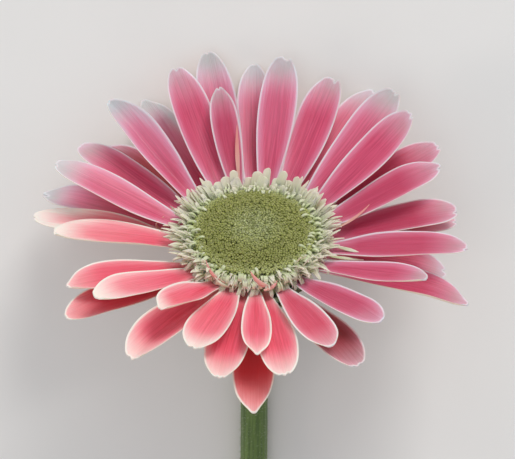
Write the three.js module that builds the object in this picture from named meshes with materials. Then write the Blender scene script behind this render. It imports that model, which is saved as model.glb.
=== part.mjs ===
// A cut gerbera lying on a table: a leafless stem with a bent neck, and a flower head that leans
// on the tips of its lowest ray florets. Millimetres and degrees, +Z up, the table at Z = 0.
// The stem runs towards +Y and the face looks towards -Y and up. The origin is under the middle
// of the whole flower.
import * as THREE from "three";

// ---- Driving dimensions --------------------------------------------------------------------
const FACE_LEAN = 47; // how far the face leans over from straight up
const HEAD_HEIGHT = 27; // the plane of the ray florets, at its centre, above the table
const TOUCH = 0.3; // gap kept between pieces that touch

// Heights in the head are measured along its axis from the plane of the ray florets.
const RECEPTACLE_RADIUS = 12.4; // the fleshy pad that every floret stands on
const RECEPTACLE_TOP = 4;
const HEAD_DEPTH = 14; // from the plane of the ray florets back to the stem
const DISC_RADIUS = 16.4; // the green cushion of disc florets
const DISC_EDGE = 8.8;
const DISC_TOP = 10.8;
const CROWN_RADIUS = 23.2; // the tips of the cream florets round the disc

const STEM_RADIUS = 3.8;
const STEM_SIDES = 12;
const STEM_END = 160; // how far behind the head's centre the stem is cut
const STEM_SWAY = 9; // how far the cut end has wandered sideways
const CUT_SLANT = 0.5; // how far the cut runs back along the stem for each step down

const BLADE_THICKNESS = 0.7;
const CLAW_WIDTH = 1.9; // a ray floret's narrow foot
const CLAW_THICKNESS = 0.8;
const CHANNEL = 0.14; // how far a blade's margins stand above its midrib, as a share of its width

// ---- Small helpers -------------------------------------------------------------------------
const radians = THREE.MathUtils.degToRad;
const degrees = THREE.MathUtils.radToDeg;
const smooth = THREE.MathUtils.smoothstep;
const mix = THREE.MathUtils.lerp;

const petal = material(0xd0587c, 0.55);
const cream = material(0xd8dcc0, 0.6);
const discGreen = material(0x7c8a48, 0.75);
const bractGreen = material(0x4c6a34, 0.7);
const stemGreen = material(0x5c7a3c, 0.6);

function material(color, roughness) {
  return new THREE.MeshStandardMaterial({ color, roughness, metalness: 0 });
}

function piece(name, geometry, finish) {
  const mesh = new THREE.Mesh(geometry, finish);
  mesh.name = name;
  return mesh;
}

// Moves every vertex of a geometry to where place(x, y, z, number) says.
function warp(geometry, place) {
  const at = geometry.getAttribute("position");
  for (let i = 0; i < at.count; i++) {
    const p = place(at.getX(i), at.getY(i), at.getZ(i), i);
    at.setXYZ(i, p.x, p.y, p.z);
  }
  geometry.computeVertexNormals();
  return geometry;
}

// ---- Ray florets ---------------------------------------------------------------------------
// Each whorl stands a little above the one behind it. A ray is
// [direction of its tip, reach from the axis, lift of its tip, width, roll about its own length].
// Direction 0 is the flower's right, 90 the side on the table. A lift of TABLE bends the ray
// up until its tip meets the table.
const TABLE = null;
const WHORLS = {
  outer: {
    foot: 0,
    rays: [
      [12, 54.5, 2, 10.5, 0],
      [30, 58, 14, 11, 0],
      [57, 61, TABLE, 11, 0],
      [90, 58, TABLE, 9, 0],
      [103, 60.5, 24, 10, 0],
      [122, 58, TABLE, 11, 0],
      [138, 55, 6, 10.5, 0],
      [158.5, 60.5, 2.5, 10, 0],
      [172, 58.5, 6.5, 10.5, 0],
      [212, 56, 8, 10.5, 0],
      [237, 56, 10, 11, 0],
      [270, 57.5, 2, 10.5, 0],
      [298, 55, 9, 10.5, 0],
      [341, 58, 2, 10.5, 0],
      [358, 50.5, -5, 10, 0],
    ],
  },
  middle: {
    foot: 1.5,
    rays: [
      [10, 54.5, 8.5, 10.5, 0],
      [47, 59.5, 22, 11, 0],
      [66, 56, 22, 10.5, 0],
      [81, 57, 27, 10, 0],
      [114, 57, 26, 10.5, 0],
      [148, 56, 14, 10.5, 0],
      [205, 53, 12, 10.5, 0],
      [261, 55, 11, 10.5, 0],
      [278, 54.5, 12, 10, 0],
    ],
  },
  inner: {
    foot: 3,
    rays: [
      [20, 54, 18, 10, 0],
      [36, 56, 25, 10.5, 0],
      [103, 47.5, 30, 7.5, 0],
      [137, 57, 24, 9.5, 0],
      [162, 57, 18, 10.5, 0],
      [180, 52.5, 10, 10.5, 0],
      [218, 52, 18, 10, 0],
      [238.5, 47.5, 22.5, 9, 0],
      [253, 51.5, 16, 10.5, 0],
      [271, 50.5, 16, 7.5, 0],
      [292, 52.5, 16, 9, 0],
      [309, 51.5, 17, 9.5, 0],
      [332, 51, 16, 8.5, 0],
      [353, 56, 10, 10.5, 0],
    ],
  },
};
const FOOT_RADIUS = RECEPTACLE_RADIUS + 1.5 * TOUCH;

// The lift at which a ray's tip is down on the table, for a ray of this direction and reach.
function liftToTable(direction, reach) {
  const along = Math.cos(radians(FACE_LEAN));
  const across = Math.sin(radians(FACE_LEAN)) * Math.sin(radians(direction));
  const tipHeight = 0.6 * BLADE_THICKNESS - HEAD_HEIGHT;
  const swing = Math.asin(tipHeight / (reach * Math.hypot(along, across)));
  return degrees(Math.atan2(across, along) + swing);
}

// Half the width of a blade, as a share of its widest, from its foot (0) to its tip (1).
function bladeOutline(s) {
  const widest = 0.64;
  if (s > widest) return Math.sqrt(1.05 - ((s - widest) / (1 - widest)) ** 2);
  return mix(CLAW_WIDTH / 10, 1.02, Math.sin((s / widest) * (Math.PI / 2)) ** 1.5);
}

// A low ray arches over and a lifted ray bends up, so that all leave the middle at one slope.
function bladeArch(lift) {
  return mix(2, -2.5, lift / 30);
}

const STATIONS = [0, 0.1, 0.2, 0.32, 0.45, 0.58, 0.7, 0.81, 0.9, 0.96, 1];

// A blade lies along X from its foot, with its middle in Y = 0 and its face towards +Z. A box is
// cut across at each station, and each cut is spread, channelled and arched.
function bladeGeometry(length, width, arch) {
  const spans = STATIONS.length - 1;
  const box = new THREE.BoxGeometry(1, 1, 1, spans, 2, 1);
  return warp(box, (x, y, z) => {
    const s = STATIONS[Math.round((x + 0.5) * spans)];
    const half = (width / 2) * bladeOutline(s);
    const margin = Math.abs(y) * 2;
    const rise = arch * 4 * s * (1 - s);
    const channel = CHANNEL * 2 * half * margin;
    const thickness = mix(CLAW_THICKNESS, BLADE_THICKNESS, smooth(s, 0, 0.3));
    return { x: s * length, y: y * 2 * half, z: rise + channel + z * thickness };
  });
}

function rayFloret(name, [direction, reach, givenLift, width, roll], foot) {
  const lift = givenLift ?? liftToTable(direction, reach);
  const start = new THREE.Vector3(FOOT_RADIUS, 0, foot);
  const tip = new THREE.Vector3(reach * Math.cos(radians(lift)), 0, reach * Math.sin(radians(lift)));
  const chord = tip.clone().sub(start);
  const mesh = piece(name, bladeGeometry(chord.length(), width, bladeArch(lift)), petal);
  mesh.position.copy(start);
  mesh.rotation.set(radians(roll), -Math.atan2(chord.z, chord.x), 0, "YXZ");
  const turn = new THREE.Group();
  turn.rotation.z = radians(direction);
  turn.add(mesh);
  return turn;
}

// ---- Turned pieces of the head -------------------------------------------------------------
// A profile is a list of [radius, height along the head's axis].
function turned(profile, steps = 48) {
  const points = profile.map(([r, z]) => new THREE.Vector2(r, z));
  return new THREE.LatheGeometry(points, steps).rotateX(Math.PI / 2);
}

function discFlorets() {
  const base = RECEPTACLE_TOP + TOUCH;
  return turned([
    [0, base],
    [RECEPTACLE_RADIUS, base],
    [DISC_RADIUS - 0.6, base + 1.4],
    [DISC_RADIUS, DISC_EDGE - 1.4],
    [DISC_RADIUS - 0.8, DISC_EDGE],
    [DISC_RADIUS * 0.6, mix(DISC_EDGE, DISC_TOP, 0.8)],
    [0, DISC_TOP],
  ]);
}

function receptacle() {
  return turned([
    [0, -HEAD_DEPTH],
    [STEM_RADIUS + 0.4, -HEAD_DEPTH],
    [STEM_RADIUS + 2, -HEAD_DEPTH + 3],
    [RECEPTACLE_RADIUS - 3, -HEAD_DEPTH + 7],
    [RECEPTACLE_RADIUS, -3],
    [RECEPTACLE_RADIUS, RECEPTACLE_TOP - 1],
    [RECEPTACLE_RADIUS - 1, RECEPTACLE_TOP],
    [0, RECEPTACLE_TOP],
  ], 36);
}

// A crown is a ring-shaped sheet whose far edge is cut into teeth. Its two faces are given from
// the foot to the tips, and the last stretch of each is the teeth. A fullness of 1 makes them
// pointed and a smaller one makes them round.
const STEPS_PER_TOOTH = 4;

function crown(under, over, teeth, fullness) {
  const loop = [...under, ...over.toReversed(), under[0]];
  const root = under.length - 2;
  const back = loop.length - 2 - root;
  return warp(turned(loop, teeth * STEPS_PER_TOOTH), (x, y, z, i) => {
    const corner = i % loop.length;
    const isTip = corner === root + 1 || corner === back - 1;
    if (!isTip) return { x, y, z };
    const share = (Math.floor(i / loop.length) % STEPS_PER_TOOTH) / STEPS_PER_TOOTH;
    const tall = mix(0.12, 1, Math.sin(share * Math.PI) ** fullness);
    const [tipRadius, tipHeight] = loop[corner];
    const [rootRadius, rootHeight] = corner === root + 1 ? loop[root] : loop[back];
    const spread = mix(rootRadius, tipRadius, tall) / tipRadius;
    return { x: x * spread, y: y * spread, z: mix(rootHeight, tipHeight, tall) };
  });
}

function outerCreamFlorets() {
  const foot = DISC_RADIUS + TOUCH;
  return crown(
    [[foot, 5.4], [foot + 2.6, 6.8], [CROWN_RADIUS, 9.4]],
    [[foot, 6.6], [foot + 2.6, 8], [CROWN_RADIUS, 10]],
    26, 0.5,
  );
}

function innerCreamFlorets() {
  const foot = DISC_RADIUS + TOUCH;
  return crown(
    [[foot + 0.7, 7.3], [foot + 1.2, 8.6], [foot + 2.2, 10.8]],
    [[foot, 7.3], [foot + 0.4, 8.8], [foot + 1.5, 11]],
    30, 0.6,
  );
}

function innerBracts() {
  return crown(
    [[STEM_RADIUS + 1.4, -HEAD_DEPTH], [9.6, -9], [13.6, -4], [17, -1.6]],
    [[STEM_RADIUS + 0.8, -HEAD_DEPTH], [8.6, -8.2], [12.8, -3], [16.8, -1]],
    22, 0.9,
  );
}

function outerBracts() {
  return crown(
    [[STEM_RADIUS + 2.4, -HEAD_DEPTH + 0.2], [10.9, -9.8], [15, -5.4]],
    [[STEM_RADIUS + 1.8, -HEAD_DEPTH + 0.4], [10.2, -9], [14.6, -4.8]],
    18, 0.9,
  );
}

// ---- Stem ----------------------------------------------------------------------------------
// The neck leaves the back of the head along the head's axis, bends, and then lies flat.
class StemPath extends THREE.Curve {
  constructor() {
    super();
    this.rest = STEM_RADIUS * Math.cos(Math.PI / STEM_SIDES);
    this.neck = (HEAD_DEPTH + TOUCH) * Math.sin(radians(FACE_LEAN));
    this.drop = HEAD_HEIGHT - (HEAD_DEPTH + TOUCH) * Math.cos(radians(FACE_LEAN)) - this.rest;
    this.bend = 3 * this.drop * Math.tan(radians(FACE_LEAN));
  }

  getPoint(t) {
    const y = mix(this.neck, STEM_END, t);
    const bent = Math.max(0, 1 - (y - this.neck) / this.bend);
    const wander = Math.max(0, (y - this.bend) / (STEM_END - this.bend));
    return new THREE.Vector3(STEM_SWAY * wander ** 2, y, this.rest + this.drop * bent ** 3);
  }
}

// The cut end slants, with its lower edge nearer the head.
function stemGeometry() {
  const path = new StemPath();
  const ring = new THREE.Shape();
  for (let i = 0; i < STEM_SIDES; i++) {
    const turn = ((i + 0.5) / STEM_SIDES) * 2 * Math.PI;
    const place = [STEM_RADIUS * Math.cos(turn), STEM_RADIUS * Math.sin(turn)];
    if (i === 0) ring.moveTo(...place);
    else ring.lineTo(...place);
  }
  const tube = new THREE.ExtrudeGeometry(ring, { extrudePath: path, steps: 30, curveSegments: 1 });
  const slanted = STEM_END - 2;
  return warp(tube, (x, y, z) => ({ x, y: y > slanted ? y + (z - path.rest) * CUT_SLANT : y, z }));
}

// ---- The flower ----------------------------------------------------------------------------
const head = new THREE.Group();
head.rotation.set(radians(FACE_LEAN), 0, Math.PI, "XYZ");
head.position.z = HEAD_HEIGHT;
for (const [whorl, { rays, foot }] of Object.entries(WHORLS)) {
  rays.forEach((ray, i) => {
    const name = `ray_${whorl}_${String(i + 1).padStart(2, "0")}`;
    head.add(rayFloret(name, ray, foot));
  });
}
head.add(piece("disc_florets", discFlorets(), discGreen));
head.add(piece("trans_florets_inner", innerCreamFlorets(), cream));
head.add(piece("trans_florets_outer", outerCreamFlorets(), cream));
head.add(piece("receptacle", receptacle(), bractGreen));
head.add(piece("involucre_inner", innerBracts(), bractGreen));
head.add(piece("involucre_outer", outerBracts(), bractGreen));

const flower = new THREE.Group();
flower.add(head);
flower.add(piece("stem", stemGeometry(), stemGreen));
const extent = new THREE.Box3().setFromObject(flower, true);
const middle = extent.getCenter(new THREE.Vector3());
flower.position.set(-middle.x, -middle.y, -extent.min.z);
export default flower;
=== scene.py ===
# %% [markdown]
# # A cut gerbera, lying on a table
# A gerbera is not one flower but a whole head of them. The long pink "petals" are ray florets,
# the cream ring inside them is made of short two-lipped florets, and the green middle is several
# hundred florets still in bud. Under the head sits a cup of green bracts, and then the stem.
# The CAD frame already holds every piece as a plain solid, in its place and at its size. This
# file grows the fine shape of each piece over its solid and gives it its finish.

# %% Load the frame
import math

import bmesh
import bpy
import numpy as np
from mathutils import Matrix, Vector


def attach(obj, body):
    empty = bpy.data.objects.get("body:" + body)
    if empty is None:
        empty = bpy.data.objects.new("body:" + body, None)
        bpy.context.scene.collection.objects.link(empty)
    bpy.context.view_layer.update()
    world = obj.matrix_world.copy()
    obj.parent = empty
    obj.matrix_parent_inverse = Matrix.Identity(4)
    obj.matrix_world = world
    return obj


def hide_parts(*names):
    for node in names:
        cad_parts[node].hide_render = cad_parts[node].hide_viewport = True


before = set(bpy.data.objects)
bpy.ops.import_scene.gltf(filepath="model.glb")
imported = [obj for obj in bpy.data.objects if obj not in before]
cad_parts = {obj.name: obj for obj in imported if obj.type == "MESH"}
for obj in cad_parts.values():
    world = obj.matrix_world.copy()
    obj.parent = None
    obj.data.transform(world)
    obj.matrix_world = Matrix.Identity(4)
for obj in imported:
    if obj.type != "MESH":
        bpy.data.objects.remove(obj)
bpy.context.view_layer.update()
MM = 0.001
print("the frame holds", len(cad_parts), "solids")

# %% [markdown]
# ## Finding the head
# The head leans, so its pieces are easiest to place in a frame of its own: a hub under the green
# middle, one direction out of the face, and two across it. The solid of the disc florets is
# turned about the head's axis. Its corners spread least along that axis, so a singular value
# decomposition finds the axis without any number being typed in.

# %% The head's own frame
def unit(v):
    return v / np.linalg.norm(v, axis=-1, keepdims=True)


def corners(node):
    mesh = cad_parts[node].data
    flat = np.zeros(len(mesh.vertices) * 3, np.float32)
    mesh.vertices.foreach_get("co", flat)
    return np.unique(flat.reshape(-1, 3), axis=0).astype(float)


disc = corners("disc_florets")
disc_middle = disc.mean(0)
face = np.linalg.svd(disc - disc_middle)[2][2]
face = face * np.sign(face[2])
right = np.array([-1.0, 0.0, 0.0])
up = np.cross(face, right)
hub = disc_middle + face * ((disc - disc_middle) @ face).min()


def in_head(radius, direction, height):
    """Points at a radius from the head's axis, a direction in radians and a height over the hub."""
    radius, direction, height = np.broadcast_arrays(radius, direction, height)
    flat = np.cos(direction)[..., None] * right + np.sin(direction)[..., None] * up
    return hub + radius[..., None] * flat + height[..., None] * face


def head_coordinates(points):
    """The radius, direction and height over the hub of points given in the frame."""
    away = points - hub
    return np.hypot(away @ right, away @ up), np.arctan2(away @ up, away @ right), away @ face


disc_radius = head_coordinates(disc)[0].max()
print("the face leans", round(math.degrees(math.acos(face[2])), 1), "degrees;",
      "the disc is", round(disc_radius / MM, 1), "mm in radius")

# %% [markdown]
# ## The camera
# The flower lies on the table, so the eye is all but straight above the head and looks down. The
# stem runs towards the bottom of the view. A long lens from far away keeps the head from bulging.

# %% Camera
EYE_HEIGHT = 0.7  # metres above the middle of the rays
VIEW_WIDTH = 133.9 * MM  # how wide a stretch the camera sees at the rays
EYE_ASIDE = (-0.91 * MM, -6.89 * MM)  # how far from straight above the head the eye stands, in X and Y
RAYS_BELOW_HUB = 4.3 * MM  # from the hub back to the plane of the rays

eye = bpy.data.cameras.new("eye")
eye.sensor_width = 36
eye.lens = eye.sensor_width * EYE_HEIGHT / VIEW_WIDTH
camera = bpy.data.objects.new("eye", eye)
bpy.context.scene.collection.objects.link(camera)
ray_plane = hub - face * RAYS_BELOW_HUB
camera.location = ray_plane + np.array([*EYE_ASIDE, EYE_HEIGHT])
camera.rotation_euler = (0, 0, math.pi)
bpy.context.scene.camera = camera
print("the lens is", round(eye.lens), "mm")

# %% [markdown]
# ## Skins
# Petals, buds, bracts, hairs and the stem are all the same kind of shape: a row of rings joined
# into a closed skin. A petal's ring runs across its face from one margin to the other and back
# along its underside. A bud's ring is a small star. One function joins the rings, closes both
# ends and stores named maps for the materials. The map `shape` says how far along and across a
# point lies, and `place` is in millimetres, moved on for each piece so that no two match.

# %% Joining rings into a skin
def skin(name, rings, maps, finishes, column_finish=None):
    """rings is pieces x rings x columns x 3, and each map is the same with 2 at the end."""
    pieces, rows, columns = rings.shape[:3]
    number = np.arange(pieces * rows * columns).reshape(pieces, rows, columns)
    here, there = number[:, :-1], number[:, 1:]
    walls = np.stack([here, there, np.roll(there, -1, 2), np.roll(here, -1, 2)], -1)
    caps = []
    for end in (number[:, 0], number[:, -1]):
        back = end[:, ::-1]
        caps.append(np.stack([end, np.roll(end, -1, 1), np.roll(back, -1, 1), back], -1)
                    [:, : columns // 2 - 1])
    faces = np.concatenate([walls.reshape(-1, 4), *[c.reshape(-1, 4) for c in caps]])
    mesh = bpy.data.meshes.new(name)
    mesh.from_pydata(rings.reshape(-1, 3).tolist(), [], faces.tolist())
    for title, values in maps.items():
        layer = mesh.uv_layers.new(name=title)
        spread = np.broadcast_to(values, (pieces, rows, columns, 2)).reshape(-1, 2)
        layer.data.foreach_set("uv", spread[faces.ravel()].astype(np.float32).ravel())
    if column_finish is not None:
        wall_finish = np.broadcast_to(column_finish, (pieces, rows - 1, columns)).ravel()
        cap_finish = np.full(len(faces) - len(wall_finish), column_finish[0])
        mesh.polygons.foreach_set("material_index", np.concatenate([wall_finish, cap_finish]))
    form = bmesh.new()
    form.from_mesh(mesh)
    bmesh.ops.recalc_face_normals(form, faces=form.faces)
    form.to_mesh(mesh)
    form.free()
    mesh.polygons.foreach_set("use_smooth", [True] * len(mesh.polygons))
    for finish in finishes:
        mesh.materials.append(finish)
    piece = bpy.data.objects.new(name, mesh)
    bpy.context.scene.collection.objects.link(piece)
    return piece


# %% [markdown]
# The next helpers are small. Maps come in pairs of values, every piece settles on the flower's
# one body, rings go round, and two functions blend numbers: `ease` is a soft step and `mix` goes
# from one value to another.

# %% Maps, settling and blending numbers
def paired(first, second):
    """Two values for a map, each of which may be the same along a ring or a row."""
    return np.stack(np.broadcast_arrays(first, second), -1)


def settle(piece, slot, *replaced):
    """Every piece of the flower rides on its one body, and the solids it replaces are hidden; slot is not
    used.
    """
    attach(piece, "root")
    if replaced:
        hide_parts(*replaced)


def round_turn(count):
    """Angles once round a ring, the way that turns its faces outwards."""
    return -np.arange(count) / count * 2 * math.pi


def there_and_back(count):
    """0 at a ring's first point, 1 on its far side and 0 again, so that a pattern has no seam."""
    return 1 - np.abs(np.arange(count) / count * 2 - 1)


def ease(low, high, x):
    """0 below low, 1 above high, and a soft step between."""
    x = np.clip((x - low) / (high - low), 0, 1)
    return x * x * (3 - 2 * x)


def mix(a, b, share):
    return a + (b - a) * share


print("halfway up a soft step from 0 to 1 is", float(ease(0, 1, 0.5)))


# %% [markdown]
# ## Node helpers
# A material is a small graph. Small helpers keep the graphs short to read: one adds a node and
# fills its sockets, and the others do a sum, blend two colours, make a soft step or read a map.
# A value that is a socket gets linked, and a plain one gets typed in.

# %% Adding nodes
def fill(tree, socket, value):
    if isinstance(value, bpy.types.NodeSocket):
        tree.links.new(value, socket)
    else:
        socket.default_value = value


def add(tree, kind, inputs=(), **settings):
    node = tree.nodes.new(kind)
    for key, value in settings.items():
        setattr(node, key, value)
    for key, value in dict(inputs).items():
        fill(tree, node.inputs[key], value)
    return node


def sum_of(tree, operation, a, b=0.0, clamp=False):
    node = add(tree, "ShaderNodeMath", {0: a, 1: b}, operation=operation, use_clamp=clamp)
    return node.outputs[0]


def times(tree, a, b, clamp=False):
    return sum_of(tree, "MULTIPLY", a, b, clamp)


def blended(tree, share, a, b):
    node = add(tree, "ShaderNodeMix", {0: share, 6: a, 7: b}, data_type="RGBA")
    return node.outputs[2]


def stepped(tree, value, low, high, start=0.0, end=1.0):
    node = add(tree, "ShaderNodeMapRange",
               {"Value": value, "From Min": low, "From Max": high, "To Min": start, "To Max": end},
               interpolation_type="SMOOTHSTEP")
    return node.outputs[0]


def ramp(tree, value, stops):
    """A curve through (position, value) stops."""
    node = add(tree, "ShaderNodeValToRGB", {0: value})
    edge = node.color_ramp.elements
    while len(edge) < len(stops):
        edge.new(0.5)
    for point, (position, level) in zip(edge, stops):
        point.position = position
        point.color = (level, level, level, 1)
    return node.outputs[0]


def map_values(tree, title):
    """The two values that a named map holds."""
    where = add(tree, "ShaderNodeUVMap", uv_map=title).outputs[0]
    return add(tree, "ShaderNodeSeparateXYZ", {0: where}).outputs[:2]


def colour(red, green, blue):
    return (red, green, blue, 1.0)


# %% [markdown]
# ## Effects shared by the finishes
# Plant tissue shows two patterns everywhere. Veins run along the petals, tongues, bracts and
# stem, so one group draws streaks that are long one way and fine the other. Cells make a soft
# mottle, so another group draws specks at two sizes. Both are node groups with named inputs, and
# each finish places them with its own values.

# %% Effect groups
def new_group(name, inputs, outputs):
    tree = bpy.data.node_groups.new(name, "ShaderNodeTree")
    for title, start in inputs:
        socket = tree.interface.new_socket(title, in_out="INPUT", socket_type="NodeSocketFloat")
        socket.default_value = start
    for title in outputs:
        tree.interface.new_socket(title, in_out="OUTPUT", socket_type="NodeSocketFloat")
    given = tree.nodes.new("NodeGroupInput").outputs
    return tree, given, tree.nodes.new("NodeGroupOutput").inputs


def veins_group():
    tree, given, out = new_group("veins", [("Count per mm", 2.0), ("Length", 12.0)],
                                 ["Streaks", "Ridges"])
    along_mm, across_mm = map_values(tree, "place")
    along = sum_of(tree, "DIVIDE", along_mm, given["Length"])
    across = times(tree, across_mm, given["Count per mm"])
    coarse = add(tree, "ShaderNodeCombineXYZ", {0: along, 1: across}).outputs[0]
    streaks = add(tree, "ShaderNodeTexNoise", {"Vector": coarse, "Scale": 1.0, "Detail": 3.0,
                                               "Roughness": 0.6}).outputs[0]
    finer = times(tree, across, 2.3)
    fine = add(tree, "ShaderNodeCombineXYZ", {0: along, 1: finer, 2: 4.0}).outputs[0]
    ridges = add(tree, "ShaderNodeTexNoise", {"Vector": fine, "Scale": 1.0, "Detail": 1.0}).outputs[0]
    tree.links.new(stepped(tree, streaks, 0.32, 0.68), out["Streaks"])
    tree.links.new(stepped(tree, ridges, 0.3, 0.7), out["Ridges"])
    return tree


def cells_group():
    tree, given, out = new_group("cells", [("Size mm", 1.0)], ["Patches", "Specks"])
    where = add(tree, "ShaderNodeTexCoord").outputs["Object"]
    scale = sum_of(tree, "DIVIDE", 1000.0, given["Size mm"])
    patches = add(tree, "ShaderNodeTexNoise", {"Vector": where, "Scale": scale, "Detail": 2.0}).outputs[0]
    finer = times(tree, scale, 5.0)
    specks = add(tree, "ShaderNodeTexNoise", {"Vector": where, "Scale": finer, "Detail": 1.0}).outputs[0]
    tree.links.new(stepped(tree, patches, 0.3, 0.7), out["Patches"])
    tree.links.new(stepped(tree, specks, 0.3, 0.7), out["Specks"])
    return tree


VEINS = veins_group()
CELLS = cells_group()
print("effect groups:", VEINS.name, CELLS.name)

# %% [markdown]
# Every finish starts as a Principled shader. Values that are even all over are typed straight into
# it, so a graph holds only what varies. Fine relief is a bump and not shape, as it is shallower
# than a tenth of a millimetre.

# %% Starting a finish
def placed(tree, group, values):
    """Places an effect group in a material with its own values, and gives its outputs."""
    return add(tree, "ShaderNodeGroup", values, node_tree=group).outputs


def new_finish(name, roughness, soak=None, **shader_values):
    """A material with a Principled shader. Its even values are typed into the shader itself.
    soak is how much light goes in, how far in millimetres, and each colour's share of that."""
    material = bpy.data.materials.new(name)
    material.use_nodes = True
    tree = material.node_tree
    shader = tree.nodes["Principled BSDF"]
    shader.inputs["Roughness"].default_value = roughness
    for key, value in shader_values.items():
        shader.inputs[key.replace("_", " ")].default_value = value
    if soak is not None:
        weight, depth_mm, shares = soak
        shader.inputs["Subsurface Weight"].default_value = weight
        shader.inputs["Subsurface Scale"].default_value = depth_mm * MM
        shader.inputs["Subsurface Radius"].default_value = shares
    return material, tree, shader


def along_and_across(tree):
    """How far along a piece a point is, and how far from its middle, both from 0 to 1."""
    along, across = map_values(tree, "shape")
    from_middle = sum_of(tree, "ABSOLUTE", sum_of(tree, "SUBTRACT", times(tree, across, 2.0), 1.0))
    return along, from_middle


def bumped(tree, shader, height, depth_mm, strength=1.0):
    bump = add(tree, "ShaderNodeBump", {"Strength": strength, "Distance": depth_mm * MM, "Height": height})
    tree.links.new(bump.outputs[0], shader.inputs["Normal"])


print("each effect gives", *[[socket.name for socket in group.interface.items_tree
                              if socket.in_out == "OUTPUT"] for group in (VEINS, CELLS)])

# %% [markdown]
# ## The finish of a ray floret
# The face is rose pink, deepest along the middle and faintly streaked by its veins. It fades at
# the foot and the tip, and a line of cream runs round the whole edge with a soft halo inside it.
# Three maps steer this: `shape` is the one that every skin has, `edge` holds the distance to the
# petal's edge in millimetres, and `tone` holds how pale or deep the ray is, which is partly its own
# colour and partly painted light and shade, and how much painted warm light its pale parts take,
# against a painted cool light on the rest of the head. Petals are thin and wet inside, so light
# soaks in and comes out again, and subsurface scattering does that. The underside is a finish of
# its own, peach in the middle and cream at the margins.

# %% Petal finishes
DEEP_ROSE = colour(0.48, 0.028, 0.092)
ROSE = colour(0.71, 0.083, 0.195)
# The warm roses are the rose in a painted warm light, brighter than the plain ones.
DEEP_ROSE_IN_WARM_LIGHT = colour(0.70, 0.038, 0.080)
ROSE_IN_WARM_LIGHT = colour(0.90, 0.100, 0.185)
# Crimson is partly a ray's own red and partly painted shade, and garnet is painted shade.
CRIMSON_PART_PAINTED_SHADE = colour(0.66, 0.030, 0.040)
GARNET_PAINTED_SHADE = colour(0.30, 0.018, 0.030)
# Each pale colour comes twice: in a painted cool light and in a painted warm light.
BLUSH_IN_COOL_LIGHT, BLUSH_IN_WARM_LIGHT = colour(0.80, 0.37, 0.53), colour(0.98, 0.45, 0.48)
CREAM_IN_COOL_LIGHT, CREAM_IN_WARM_LIGHT = colour(0.84, 0.85, 0.90), colour(0.97, 0.88, 0.80)
CHALK_IN_COOL_LIGHT = colour(0.56, 0.62, 0.64)
BRUISE = colour(0.42, 0.42, 0.36)
PETAL_BACK, BACK_STREAK = colour(0.84, 0.46, 0.40), colour(0.74, 0.27, 0.28)
BACK_CREAM = colour(0.88, 0.74, 0.58)
# Rays paler than this are partly faded and partly painted light, and deeper ones are partly their own red
# and partly painted shade.
ORDINARY = 0.4  # the tone of a ray that has neither faded nor darkened


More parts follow.
